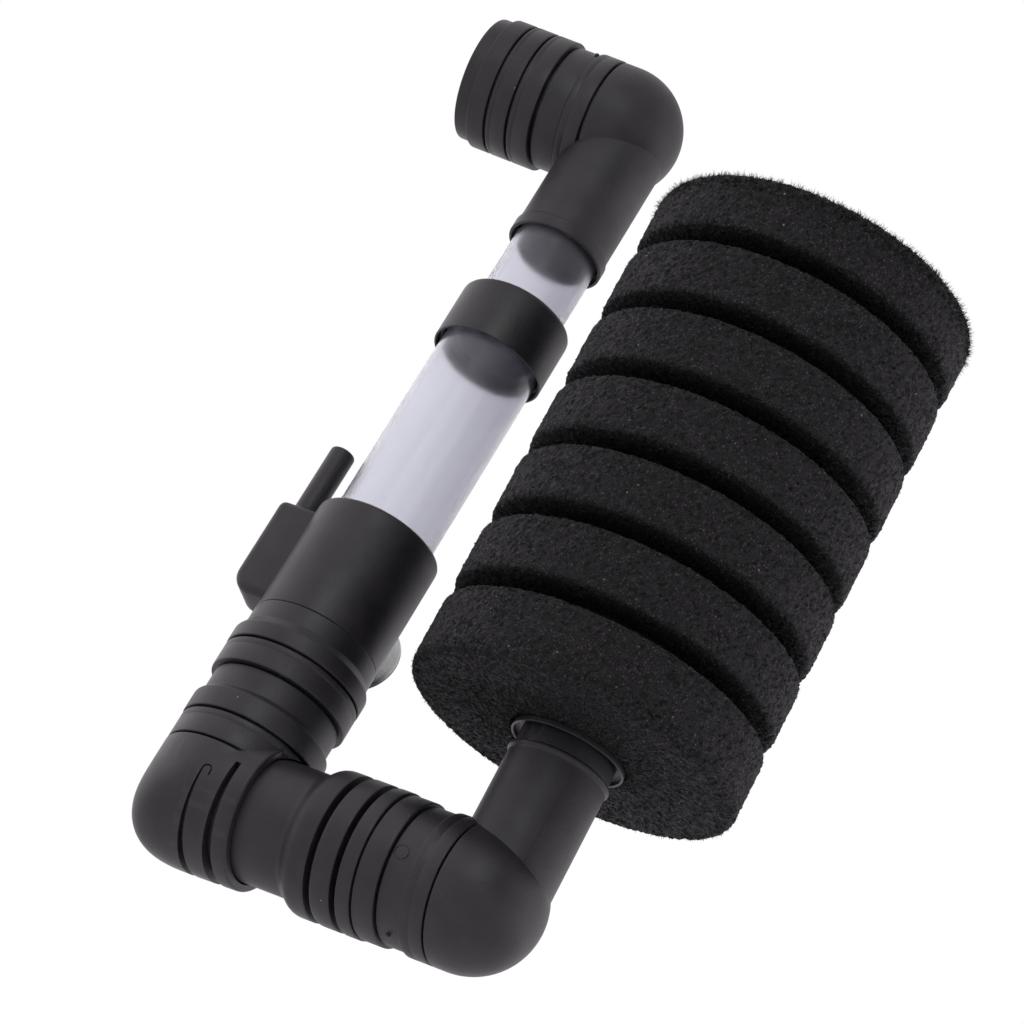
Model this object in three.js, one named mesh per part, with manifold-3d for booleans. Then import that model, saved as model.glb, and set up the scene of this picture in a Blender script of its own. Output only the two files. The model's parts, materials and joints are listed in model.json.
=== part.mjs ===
// Sponge filter for an aquarium: an air-lift tube on a suction cup, joined by a swivelling
// U-shaped pipe to a grooved foam cartridge. Millimetres, +Z up, +X from the lift tube to the
// sponge, +Y towards the glass. The origin is the centre of the suction cup on the glass.
import * as THREE from 'three';
import { ConvexGeometry } from 'three/addons/geometries/ConvexGeometry.js';
import { mergeVertices } from 'three/addons/utils/BufferGeometryUtils.js';
import Module from 'manifold-3d';

const wasm = await Module();
wasm.setup();

// ---------- driving dimensions ----------
const SEGMENTS = 24;
const DRILL_SEGMENTS = 8;
const DOME_STEPS = 5;
const GROOVE_DEPTH = 0.9;
const FIT_GAP = 0.35; // radial play between parts that slide or turn in each other
const FACE_GAP = 0.3; // gap between faces that meet

// Heights along the lift tube are counted from the axis of the bottom link pipe.
const GLASS_Y = 17.5; // from the lift tube's axis to the glass
const CUP_Z = 45.5; // height of the suction cup
const BARREL = { radius: 12.65, bottom: 36.6, top: 61, bore: 7.8, spigotBottom: 24, spigot: 10.5 };
const CHAMBER = { radius: 9.6, bottom: 37.6, top: 44.6 };
const TUBE_SEAT_Z = 45.2;
const OUTER_TUBE = { radius: 10.05, bore: 9.1, bottom: 45.5, top: 111 };
const INNER_TUBE = { radius: 8.65, bore: 7.65, bottom: 106.5, top: 148 };
const COLLAR = { radius: 11.4, bottom: 103.9, top: 116.4, lip: 1, mouth: 10.95 };
const AIR_BOX = { outer: -20, inner: -10.9, halfWidth: 4.5, bottom: 39.8, top: 60.4, corner: 4, edge: 1 };
const AIR_PORT = { radius: 1.2, height: 42.4 };
const NOZZLE = { x: -16.2, radius: 2.5, bore: 1.1, bottom: 54, top: 75.9, shank: 1.95, shoulder: 61 };
const CUP = { radius: 8, rim: 1, neck: 1.4, head: 2.8, wall: 0.9 };

const OUTLET_Z = 164; // axis of the outlet pipe
const OUTLET_TURN = 8.8; // degrees that the outlet stands turned about the lift tube
const OUTLET_DOME = { x: -2.5, radius: 13.05 };
const OUTLET_LEG = { radius: 9.55, bottom: 132, lip: 9.95, lipTop: 134.6, bore: 7.65 };
const OUTLET_BORE = 10.3;
const CORNER = { radius: 13.75, fullness: 3 }; // fullness 2 would be a ball, and more is squarer
const LOWER_ELBOW = { top: 36.3, socketBottom: 22.2, bore: 8.4, collarEnd: 10.8, linkSocketStart: 1.6 };
const LINK = { radius: 11.7, bore: 9.4, start: 2, chamfer: 20.6, band: 23, end: 27, bandRadius: 13.75 };
const COUPLER = { start: 28.1, end: 32.3, radius: 13.75, spigot: 11, bore: 9.4, reach: 10.5 };
const SPONGE_AXIS_X = 56.4; // from the lift tube's axis to the sponge's axis
const ARM_TILT = 5.2; // degrees that the sponge arm stands turned about the link pipe
const SPONGE_ELBOW = { start: 33.5, socketEnd: 44.6, legRadius: 9.55, legTop: 28.1, lip: 9.95 };
const SPONGE_DOME = { x: 53.7, radius: 13.4 };
const LEG_SOCKET = { radius: 8.4, bottom: 16 };
const CORE = { neck: 9.2, radius: 8.1, bore: 6.9, top: 124, shoulder: 31.9 };
const CORE_WINDOW = { width: 4.4, height: 9, rows: 5, pitch: 17, first: 39 };
const FLANGE = { radius: 11.05, skirt: 0.55, bottom: 31.2, webBottom: 32.2, top: 32.8 };
const SPONGE = { radius: 31.9, bottom: 33.1, top: 137, bore: 8.45 };
const DISC = { count: 7, firstEnd: 45.8, pitch: 15.07, groove: 3.6, grooveRadius: 22 };

const black = { color: 0x2e2d30, roughness: 0.5, metalness: 0 };
const foamBlack = { color: 0x171717, roughness: 0.95, metalness: 0 };
const clear = { color: 0xcfcddc, roughness: 0.15, metalness: 0 };
const softClear = { color: 0x9a9ca0, roughness: 0.25, metalness: 0 };
const rubber = { color: 0x1c1c1e, roughness: 0.8, metalness: 0 };

// ---------- solids ----------
function solid(geometry) {
  const bare = geometry.clone();
  bare.deleteAttribute('normal');
  bare.deleteAttribute('uv');
  const merged = mergeVertices(bare, 1e-4);
  const position = merged.getAttribute('position');
  const index = merged.getIndex().array;
  const corners = [];
  for (let i = 0; i < index.length; i += 3) {
    const [a, b, c] = [index[i], index[i + 1], index[i + 2]];
    if (a !== b && b !== c && c !== a) corners.push(a, b, c);
  }
  const triVerts = Uint32Array.from(signedVolume(position, corners) < 0 ? corners.reverse() : corners);
  const vertProperties = Float32Array.from(position.array);
  return new wasm.Manifold(new wasm.Mesh({ numProp: 3, vertProperties, triVerts }));
}

function signedVolume(position, corners) {
  const [a, b, c] = [new THREE.Vector3(), new THREE.Vector3(), new THREE.Vector3()];
  let volume = 0;
  for (let i = 0; i < corners.length; i += 3) {
    a.fromBufferAttribute(position, corners[i]);
    b.fromBufferAttribute(position, corners[i + 1]);
    c.fromBufferAttribute(position, corners[i + 2]);
    volume += a.dot(b.cross(c)) / 6;
  }
  return volume;
}

function meshOf(name, shape, look) {
  const data = shape.getMesh();
  const geometry = new THREE.BufferGeometry();
  geometry.setAttribute('position', new THREE.BufferAttribute(data.vertProperties, 3));
  geometry.setIndex(new THREE.BufferAttribute(data.triVerts, 1));
  geometry.computeVertexNormals();
  const mesh = new THREE.Mesh(geometry, new THREE.MeshStandardMaterial(look));
  mesh.name = name;
  return mesh;
}

// A solid of revolution about +Z from [radius, height] points.
function turned(points, segments = SEGMENTS) {
  const profile = points.map(([radius, height]) => new THREE.Vector2(radius, height));
  return new THREE.LatheGeometry(profile, segments).rotateX(Math.PI / 2);
}

// The same profile closed on itself, for a ring or a sleeve.
const ring = (points, segments) => solid(turned([...points, points[0]], segments));

// The same, laid along +X: each point is [radius, distance along X].
const ringAlongX = (points) => solid(turned([...points, points[0]]).rotateY(Math.PI / 2));
const solidAlongX = (points) => solid(turned(points).rotateY(Math.PI / 2));

function rod(radius, from, to, segments) {
  return solid(turned([[0, from], [radius, from], [radius, to], [0, to]], segments));
}

function drillAlongX(radius, from, to) {
  const drill = turned([[0, from], [radius, from], [radius, to], [0, to]], DRILL_SEGMENTS);
  return solid(drill.rotateY(Math.PI / 2));
}

function box(low, high) {
  const size = high.map((value, i) => value - low[i]);
  const middle = high.map((value, i) => (value + low[i]) / 2);
  return solid(new THREE.BoxGeometry(...size).translate(...middle));
}

// Outline of a banded pipe: each band is [from, to, radius]. A short space to the next band is a
// V groove, and a longer one is a conical shoulder.
function banded(bands) {
  const shortestGroove = 0.2;
  const longestGroove = 0.8;
  const points = [];
  bands.forEach(([from, to, radius], i) => {
    points.push([radius, from], [radius, to]);
    const next = bands[i + 1];
    const space = next ? next[0] - to : 0;
    if (space > shortestGroove && space < longestGroove) {
      points.push([Math.min(radius, next[2]) - GROOVE_DEPTH, to + space / 2]);
    }
  });
  return points;
}

// Round end of a pipe, from [radius, centre] to the axis: way is 1 upwards and -1 downwards.
function dome(radius, centre, way) {
  const points = [];
  for (let i = 0; i <= DOME_STEPS; i++) {
    const angle = (i / DOME_STEPS) * (Math.PI / 2);
    points.push([i === DOME_STEPS ? 0 : radius * Math.cos(angle), centre + way * radius * Math.sin(angle)]);
  }
  return points;
}

// ---------- lift barrel, air box and suction cup ----------
const socketRadius = OUTER_TUBE.radius + FIT_GAP;

function barrelShell() {
  return solid(turned([
    [0, BARREL.spigotBottom],
    [BARREL.spigot, BARREL.spigotBottom],
    [BARREL.spigot, BARREL.bottom],
    [BARREL.radius, BARREL.bottom],
    [BARREL.radius, BARREL.top - 0.5],
    [BARREL.radius - 0.5, BARREL.top],
    [0, BARREL.top],
  ]));
}

function barrelBore() {
  return solid(turned([
    [0, BARREL.spigotBottom - 1],
    [BARREL.bore, BARREL.spigotBottom - 1],
    [BARREL.bore, CHAMBER.bottom],
    [CHAMBER.radius, CHAMBER.bottom],
    [CHAMBER.radius, CHAMBER.top],
    [OUTER_TUBE.bore, CHAMBER.top],
    [OUTER_TUBE.bore, TUBE_SEAT_Z],
    [socketRadius, TUBE_SEAT_Z],
    [socketRadius, BARREL.top + 1],
    [0, BARREL.top + 1],
  ]));
}

function airBoxBlock() {
  const { outer, inner, bottom, top, corner, edge, halfWidth } = AIR_BOX;
  const side = new THREE.Shape();
  side.moveTo(inner, bottom + edge);
  side.lineTo(inner, top - edge);
  side.lineTo(outer + edge, top - edge);
  side.lineTo(outer + edge, bottom + corner);
  side.absarc(outer + edge + corner - edge, bottom + corner, corner - edge, Math.PI, Math.PI * 1.5);
  side.closePath();
  const depth = 2 * (halfWidth - edge);
  const bevel = { bevelEnabled: true, bevelThickness: edge, bevelSize: edge, bevelSegments: 3 };
  const block = new THREE.ExtrudeGeometry(side, { depth, curveSegments: 6, ...bevel });
  return solid(block.translate(0, 0, -depth / 2).rotateX(Math.PI / 2));
}

function cupBoss() {
  return solid(turned([[0, 8], [4.6, 8], [4.6, 13.6], [4, 14.2], [0, 14.2]], 16)
    .rotateX(-Math.PI / 2)
    .translate(0, 0, CUP_Z));
}

function cupPocket() {
  const neck = CUP.neck + FACE_GAP;
  const head = CUP.head + FACE_GAP;
  return solid(turned([[0, 11.4], [head, 11.4], [head, 12.9], [neck, 12.9], [neck, 15], [0, 15]], 16)
    .rotateX(-Math.PI / 2)
    .translate(0, 0, CUP_Z));
}

function liftBarrel() {
  const port = drillAlongX(AIR_PORT.radius, NOZZLE.x, -BARREL.bore).translate([0, 0, AIR_PORT.height]);
  const airWay = rod(NOZZLE.shank + FACE_GAP, AIR_PORT.height - AIR_PORT.radius, AIR_BOX.top + 1, 16);
  return barrelShell()
    .add(airBoxBlock())
    .add(cupBoss())
    .subtract(barrelBore())
    .subtract(port)
    .subtract(airWay.translate([NOZZLE.x, 0, 0]))
    .subtract(cupPocket());
}

// Straight spout for the air hose, with a shank that plugs into the roof of the air box.
function airNozzle() {
  const { x, radius, bore, bottom, top, shank, shoulder } = NOZZLE;
  const round = 1;
  return ring([
    [bore, bottom],
    [shank, bottom],
    [shank, shoulder],
    [radius, shoulder],
    [radius, top - round],
    [radius - 0.3, top - 0.4],
    [radius - round, top],
    [bore, top],
  ], 16).translate([x, 0, 0]);
}

// Perforated ring that breaks the air into bubbles at the foot of the lift tube.
function bubbleRing() {
  const outside = CHAMBER.radius - FACE_GAP;
  const bottom = CHAMBER.bottom + FACE_GAP;
  const top = CHAMBER.top - FACE_GAP;
  let body = ring([
    [BARREL.bore, bottom],
    [outside, bottom],
    [outside, bottom + 1.4],
    [outside - 0.7, bottom + 1.4],
    [outside - 0.7, top - 1.4],
    [outside, top - 1.4],
    [outside, top],
    [BARREL.bore, top],
  ]);
  const holePairs = 4;
  const holeHeight = (bottom + top) / 2;
  for (let i = 0; i < holePairs; i++) {
    const drill = drillAlongX(0.6, -12, 12).translate([0, 0, holeHeight]);
    body = body.subtract(drill.rotate([0, 0, (i * 180) / holePairs]));
  }
  return body;
}

// Soft bell with a mushroom stem that is pushed through the boss on the barrel.
function suctionCup() {
  const { radius, rim, neck, head, wall } = CUP;
  const profile = [
    [0, 11.8],
    [head - 0.6, 11.8],
    [head, 12.1],
    [head, 12.5],
    [neck, 12.6],
    [neck, 14.5],
    [3.2, 14.6],
    [5.8, 15.2],
    [radius - 0.3, 16.1],
    [radius, 16.4],
    [radius, GLASS_Y],
    [radius - rim, GLASS_Y],
    [5.4, 15.4 + wall],
    [2.6, 14.6 + wall],
    [0, 14.6 + wall],
  ];
  return solid(turned(profile).rotateX(-Math.PI / 2).translate(0, 0, CUP_Z));
}

// ---------- telescopic lift tube ----------
function outerLiftTube() {
  const { radius, bore, bottom, top } = OUTER_TUBE;
  return ring([[bore, bottom], [radius, bottom], [radius, top], [bore, top]]);
}

function innerLiftTube() {
  const { radius, bore, bottom, top } = INNER_TUBE;
  return ring([[bore, bottom], [radius, bottom], [radius, top], [bore, top]]);
}

function slideCollar() {
  const { radius, bottom, top, lip, mouth } = COLLAR;
  const throat = INNER_TUBE.radius + FIT_GAP;
  return ring([
    [mouth, bottom],
    [radius, bottom],
    [radius, top - 1],
    [radius - 0.3, top - 0.3],
    [radius - 1, top],
    [throat, top],
    [throat, top - lip],
    [socketRadius, top - lip],
    [socketRadius, bottom + 2.2],
    [mouth, bottom + 2.2],
  ]);
}

// Soft ring at the head of the outer tube that holds the inner tube where it is set.
function collarGripRing() {
  const bottom = OUTER_TUBE.top + FACE_GAP;
  const top = COLLAR.top - COLLAR.lip - FACE_GAP;
  const inside = INNER_TUBE.radius + FIT_GAP;
  const outside = socketRadius - FACE_GAP;
  return ring([[inside, bottom], [outside, bottom], [outside, top], [inside, top]]);
}

// ---------- outlet elbow ----------
const outletBands = [
  [-32.4, -29.6, 12.5],
  [-29.5, -25.6, 13.4],
  [-25.1, -20.9, 13.4],
  [-20.4, -15.8, 13.4],
  [-15.3, -10.4, 12.7],
  [-10.3, -6, 13.15],
  [-5.5, OUTLET_DOME.x - 0.5, OUTLET_DOME.radius],
];

function outletElbow() {
  const { radius, bottom, lip, lipTop, bore } = OUTLET_LEG;
  const socket = INNER_TUBE.radius + FIT_GAP;
  const mouth = outletBands[0][0];
  const endDome = dome(OUTLET_DOME.radius, OUTLET_DOME.x, 1);
  const pipe = solidAlongX([[0, mouth], ...banded(outletBands), ...endDome]);
  const leg = solid(turned([
    [0, bottom],
    [lip, bottom],
    [lip, lipTop],
    [radius, lipTop],
    [radius, OUTLET_Z],
    [0, OUTLET_Z],
  ]).translate(0, 0, -OUTLET_Z));
  const legBore = solid(turned([
    [0, bottom - 1],
    [socket + 0.5, bottom - 1],
    [socket + 0.5, bottom + 1],
    [socket, bottom + 1],
    [socket, INNER_TUBE.top + FACE_GAP],
    [bore, INNER_TUBE.top + FACE_GAP],
    [bore, OUTLET_Z],
    [0, OUTLET_Z],
  ]).translate(0, 0, -OUTLET_Z));
  const pipeBore = [[0, mouth - 1], [OUTLET_BORE, mouth - 1], ...dome(OUTLET_BORE, OUTLET_DOME.x, 1)];
  return pipe
    .add(leg)
    .subtract(solidAlongX(pipeBore))
    .subtract(legBore)
    .rotate([0, 0, OUTLET_TURN])
    .translate([0, 0, OUTLET_Z]);
}

// ---------- lower elbow and link pipe ----------
const lowerElbowBands = [
  [0, 5.45, CORNER.radius],
  [5.85, 11.25, 13.7],
  [11.7, 15.9, 13.85],
  [17, 21.75, 12.8],
  [22.1, 27.2, 13.75],
  [27.65, 30.8, 13.85],
  [33, LOWER_ELBOW.top, 12.75],
];
const linkCollarBands = [
  [0, 0.7, CORNER.radius],
  [1.3, 6.1, 13.65],
  [6.7, LOWER_ELBOW.collarEnd, 13.5],
];

// Outer quarter of the corner between the column and the link collar: like a ball, but fuller where
// the two pipes would meet. It reaches a little way into both pipes.
function fullCorner() {
  const { radius, fullness } = CORNER;
  const steps = 6;
  const around = 12;
  const points = [];
  const across = (step, scale, shift) => {
    const turn = Math.PI * (1 + (0.5 * step) / steps);
    const sum = Math.abs(Math.cos(turn)) ** fullness + Math.abs(Math.sin(turn)) ** fullness;
    for (let k = 0; k <= around; k++) {
      const angle = Math.PI * (k / around - 0.5);
      const flat = radius * Math.cos(angle) * sum ** (-1 / fullness);
      const out = radius * Math.sin(angle);
      const point = new THREE.Vector3(flat * Math.cos(turn), out, flat * Math.sin(turn));
      points.push(point.multiplyScalar(scale).add(shift));
    }
  };
  for (let step = 0; step <= steps; step++) across(step, 1, new THREE.Vector3());
  across(0, 0.9, new THREE.Vector3(0, 0, 1.5));
  across(steps, 0.9, new THREE.Vector3(1.5, 0, 0));
  return solid(new ConvexGeometry(points));
}

function lowerElbow() {
  const { top, socketBottom, bore, collarEnd, linkSocketStart } = LOWER_ELBOW;
  const socket = BARREL.spigot + FIT_GAP;
  const linkSocket = LINK.radius + FACE_GAP;
  const column = solid(turned([[0, 0], ...banded(lowerElbowBands), [0, top]]));
  const columnBore = solid(turned([
    ...dome(bore, 0, -1).reverse(),
    [bore, socketBottom],
    [socket, socketBottom],
    [socket, top + 1],
    [0, top + 1],
  ]));
  const collar = solidAlongX([[0, 0], ...banded(linkCollarBands), [0, collarEnd]]);
  const linkBore = solidAlongX([
    ...dome(LINK.bore, 0, -1).reverse(),
    [LINK.bore, linkSocketStart],
    [linkSocket, linkSocketStart],
    [linkSocket, LINK.chamfer],
    [0, LINK.chamfer],
  ]);
  return column.add(collar).add(fullCorner()).subtract(columnBore).subtract(linkBore);
}

// Soft ring in the foot of the socket, under the end of the barrel's spigot.
function elbowSealRing() {
  const bottom = LOWER_ELBOW.socketBottom + FACE_GAP;
  const top = BARREL.spigotBottom - FACE_GAP;
  const inside = LOWER_ELBOW.bore + 0.1;
  return ring([[inside, bottom], [BARREL.spigot, bottom], [BARREL.spigot, top], [inside, top]]);
}

function linkTube() {
  const { radius, bore, start, chamfer, band, end, bandRadius } = LINK;
  const socket = COUPLER.spigot + FACE_GAP;
  const socketStart = COUPLER.start - COUPLER.reach - FACE_GAP;
  return ringAlongX([
    [bore, start],
    [radius, start],
    [radius, chamfer],
    [bandRadius, band],
    [bandRadius, end],
    [socket, end],
    [socket, socketStart],
    [bore, socketStart],
  ]);
}

// Short double-ended pipe with a band between its spigots: the sponge arm turns on it.
function swivelCoupler() {
  const { start, end, radius, spigot, bore, reach } = COUPLER;
  return ringAlongX([
    [bore, start - reach],
    [spigot, start - reach],
    [spigot, start],
    [radius, start],
    [radius, end],
    [spigot, end],
    [spigot, end + reach],
    [bore, end + reach],
  ]);
}

// Soft ring at the end of the coupler, inside the sponge elbow's socket.
function couplerSealRing() {
  const start = COUPLER.end + COUPLER.reach + FACE_GAP;
  const end = SPONGE_ELBOW.socketEnd - FACE_GAP;
  const { bore, spigot } = COUPLER;
  return ringAlongX([[bore, start], [spigot, start], [spigot, end], [bore, end]]);
}

// ---------- sponge arm ----------
const spongeElbowBands = [
  [SPONGE_ELBOW.start, 36.45, 13.75],
  [36.75, 41.15, 13.5],
  [41.45, 46.2, 12.9],
  [46.25, 50.98, 13.4],
  [51.35, SPONGE_DOME.x - 0.5, SPONGE_DOME.radius],
];

function spongeElbow() {
  const { start, socketEnd, legRadius, legTop, lip } = SPONGE_ELBOW;
  const hollow = 10.4;
  const socket = COUPLER.spigot + FIT_GAP;
  const lipHeight = 1;
  const endDome = dome(SPONGE_DOME.radius, SPONGE_DOME.x, 1);
  const pipe = solidAlongX([[0, start], ...banded(spongeElbowBands), ...endDome]);
  const leg = solid(turned([
    [0, 0],
    [legRadius, 0],
    [legRadius, legTop - lipHeight],
    [lip, legTop - lipHeight / 2],
    [lip, legTop],
    [0, legTop],
  ]));
  const legBore = solid(turned([
    [0, 0],
    [CORE.bore, 0],
    [CORE.bore, LEG_SOCKET.bottom],
    [LEG_SOCKET.radius, LEG_SOCKET.bottom],
    [LEG_SOCKET.radius, legTop + 1],
    [0, legTop + 1],
  ]));
  const barrelBore = solidAlongX([
    [0, start - 1],
    [socket, start - 1],
    [socket, socketEnd],
    [hollow, socketEnd],
    ...dome(hollow, SPONGE_DOME.x, 1),
  ]);
  return pipe
    .add(leg.translate([SPONGE_AXIS_X, 0, 0]))
    .subtract(barrelBore)
    .subtract(legBore.translate([SPONGE_AXIS_X, 0, 0]));
}

// Perforated pipe inside the foam: its neck plugs into the elbow's leg.
function strainerCore() {
  const { neck, radius, bore, top, shoulder } = CORE;
  const plug = LEG_SOCKET.radius - FACE_GAP;
  let body = ring([
    [bore, LEG_SOCKET.bottom + FACE_GAP],
    [plug, LEG_SOCKET.bottom + FACE_GAP],
    [plug, SPONGE_ELBOW.legTop + FACE_GAP],
    [neck, SPONGE_ELBOW.legTop + FACE_GAP],
    [neck, shoulder],
    [radius, shoulder],
    [radius, top],
    [bore, top],
  ]);
  const { width, height, rows, pitch, first } = CORE_WINDOW;
  for (let row = 0; row < rows; row++) {
    const low = first + row * pitch;
    const window = box([-12, -width / 2, low], [12, width / 2, low + height]);
    body = body.subtract(window).subtract(window.rotate([0, 0, 90]));
  }
  return body.translate([SPONGE_AXIS_X, 0, 0]);
}

function coreEndCap() {
  const { radius, bore, top } = CORE;
  const plug = bore - FACE_GAP;
  const flangeBottom = top + FACE_GAP;
  return solid(turned([
    [0, top - 4],
    [plug, top - 4],
    [plug, flangeBottom],
    [radius, flangeBottom],
    [radius, flangeBottom + 1.4],
    [0, flangeBottom + 1.4],
  ])).translate([SPONGE_AXIS_X, 0, 0]);
}

// Shallow dish under the sponge, its thin skirt turned down around the neck.
function spongeFlange() {
  const { radius, skirt, bottom, webBottom, top } = FLANGE;
  const hole = CORE.radius + FACE_GAP;
  return ring([
    [hole, webBottom],
    [radius - skirt, webBottom],
    [radius - skirt, bottom],
    [radius, bottom],
    [radius, top],
    [hole, top],
  ]).translate([SPONGE_AXIS_X, 0, 0]);
}

function sponge() {
  const { radius, bottom, top, bore } = SPONGE;
  const { count, firstEnd, pitch, groove, grooveRadius } = DISC;
  const profile = [[bore, bottom]];
  for (let disc = 0; disc < count; disc++) {
    const low = disc === 0 ? bottom : firstEnd + (disc - 1) * pitch + groove;
    const high = disc === count - 1 ? top : firstEnd + disc * pitch;
    if (disc > 0) profile.push([grooveRadius, low]);
    profile.push([radius, low], [radius, high]);
    if (disc < count - 1) profile.push([grooveRadius, high]);
  }
  const roof = CORE.top + 2.2;
  profile.push([0, top], [0, roof], [bore, roof], [bore, bottom]);
  return solid(turned(profile)).translate([SPONGE_AXIS_X, 0, 0]);
}

// ---------- assembly ----------
const filter = new THREE.Group();
filter.position.set(0, -GLASS_Y, -CUP_Z);

const lift = new THREE.Group();
lift.add(meshOf('lift_barrel', liftBarrel(), black));
lift.add(meshOf('air_nozzle', airNozzle(), black));
lift.add(meshOf('bubble_ring', bubbleRing(), black));
lift.add(meshOf('suction_cup', suctionCup(), softClear));
lift.add(meshOf('outer_lift_tube', outerLiftTube(), clear));
lift.add(meshOf('slide_collar', slideCollar(), black));
lift.add(meshOf('collar_grip_ring', collarGripRing(), rubber));
lift.add(meshOf('inner_lift_tube', innerLiftTube(), clear));
lift.add(meshOf('outlet_elbow', outletElbow(), black));
filter.add(lift);

const link = new THREE.Group();
link.add(meshOf('lower_elbow', lowerElbow(), black));
link.add(meshOf('elbow_seal_ring', elbowSealRing(), rubber));
link.add(meshOf('link_tube', linkTube(), black));
link.add(meshOf('swivel_coupler', swivelCoupler(), black));
link.add(meshOf('coupler_seal_ring', couplerSealRing(), rubber));
filter.add(link);

const arm = new THREE.Group();
arm.rotation.x = THREE.MathUtils.degToRad(ARM_TILT);
arm.add(meshOf('sponge_elbow', spongeElbow(), black));
arm.add(meshOf('strainer_core', strainerCore(), black));
arm.add(meshOf('core_end_cap', coreEndCap(), black));
arm.add(meshOf('sponge_flange', spongeFlange(), black));
arm.add(meshOf('sponge', sponge(), foamBlack));
filter.add(arm);

export default filter;
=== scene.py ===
"""Looks of the aquarium sponge filter: moulded black pipes, clear lift tubes and a foam cartridge.

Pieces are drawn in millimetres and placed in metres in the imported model's frame. Heights along the
lift tube are counted from the axis of the bottom link pipe, and distances along that pipe from the
axis of the lift tube, with +X towards the sponge and +Y towards the glass.
"""

import json
import math

import bmesh
import bpy
import numpy as np
from mathutils import Matrix, Vector

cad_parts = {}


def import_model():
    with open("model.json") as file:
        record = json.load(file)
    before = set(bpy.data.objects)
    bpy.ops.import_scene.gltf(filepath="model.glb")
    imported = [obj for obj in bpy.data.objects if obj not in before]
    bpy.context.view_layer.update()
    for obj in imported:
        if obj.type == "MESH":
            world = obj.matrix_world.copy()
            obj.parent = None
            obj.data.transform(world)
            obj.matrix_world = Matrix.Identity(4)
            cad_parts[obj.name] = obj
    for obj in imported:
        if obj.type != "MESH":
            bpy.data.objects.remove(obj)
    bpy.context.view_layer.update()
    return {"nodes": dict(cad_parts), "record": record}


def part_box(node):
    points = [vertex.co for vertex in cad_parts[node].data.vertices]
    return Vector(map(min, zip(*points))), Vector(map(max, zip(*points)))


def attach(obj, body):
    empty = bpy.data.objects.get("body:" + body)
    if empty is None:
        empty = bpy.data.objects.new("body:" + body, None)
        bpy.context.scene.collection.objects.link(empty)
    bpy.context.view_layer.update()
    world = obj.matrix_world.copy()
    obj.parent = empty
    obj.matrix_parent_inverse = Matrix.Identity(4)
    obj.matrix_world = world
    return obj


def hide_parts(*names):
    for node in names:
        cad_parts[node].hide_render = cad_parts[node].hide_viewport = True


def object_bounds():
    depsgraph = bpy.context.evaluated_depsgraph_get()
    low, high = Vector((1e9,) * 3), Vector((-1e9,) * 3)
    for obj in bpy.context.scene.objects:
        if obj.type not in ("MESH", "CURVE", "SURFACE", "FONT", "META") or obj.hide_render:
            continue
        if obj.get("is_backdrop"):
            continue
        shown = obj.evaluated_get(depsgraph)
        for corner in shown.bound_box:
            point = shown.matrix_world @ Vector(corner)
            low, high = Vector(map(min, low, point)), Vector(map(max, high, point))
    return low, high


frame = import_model()

# ---------- places, from the frame ----------
MM = 0.001


def middle(node):
    low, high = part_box(node)
    return (low + high) / 2


LIFT_AXIS = middle("outer_lift_tube")
LINK_AXIS = middle("swivel_coupler")
ORIGIN = Vector((LIFT_AXIS.x, LIFT_AXIS.y, LINK_AXIS.z))
CORE_MIDDLE = middle("strainer_core") - ORIGIN
ARM_TILT = math.atan2(-CORE_MIDDLE.y, CORE_MIDDLE.z)
OUTLET_AXIS = next(m["axis"] for m in frame["record"]["mounts"] if m["name"] == "outlet_mouth")
OUTLET_TURN = math.atan2(-OUTLET_AXIS[1], -OUTLET_AXIS[0])

PIPES = Matrix.Translation(ORIGIN) @ Matrix.Scale(MM, 4)
ARM = PIPES @ Matrix.Rotation(ARM_TILT, 4, "X")


def spans(node):
    """Lowest and highest corner of a node in millimetres, counted from the lift and link axes."""
    low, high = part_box(node)
    return (low - ORIGIN) / MM, (high - ORIGIN) / MM


def height_of(node):
    low, high = spans(node)
    return low.z, high.z


# ---------- sizes, in millimetres ----------
SEGMENTS = 144  # around a pipe
SMOOTH_ANGLE = math.radians(33)  # edges that bend more are drawn sharp
GROOVE_DEPTH = 1.0
BAND_EDGE = 0.3  # rounding of a band's edges
PLAY = 0.35  # gap between pipes that push into each other

BARREL_RADIUS = 12.65
BARREL_FOOT = 36.5
BARREL_TOP = height_of("lift_barrel")[1]
BARREL_SPIGOT = 10.5
SPIGOT_END = 24
BARREL_BORE = 7.8
TUBE_SEAT = 45.2
TUBE_BOTTOM, TUBE_TOP = height_of("outer_lift_tube")
TUBE_RADIUS = 10.05
TUBE_BORE = 9.1
SLIDER_BOTTOM, SLIDER_TOP = height_of("inner_lift_tube")
SLIDER_RADIUS = 8.65
SLIDER_BORE = 7.65
COLLAR_BOTTOM, COLLAR_TOP = height_of("slide_collar")
COLLAR_RADIUS = 11.4
NOZZLE_BOTTOM, NOZZLE_TOP = height_of("air_nozzle")
NOZZLE_X = (spans("air_nozzle")[0].x + spans("air_nozzle")[1].x) / 2
NOZZLE_RADIUS = 2.5
AIR_BOX = {"outer": -20, "inner": -9.5, "bottom": 39.8, "top": 60.4, "half_width": 4.5, "corner": 4}
CUP_HEIGHT = -ORIGIN.z / MM
GLASS_Y = -ORIGIN.y / MM
CUP_RADIUS = 8

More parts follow.
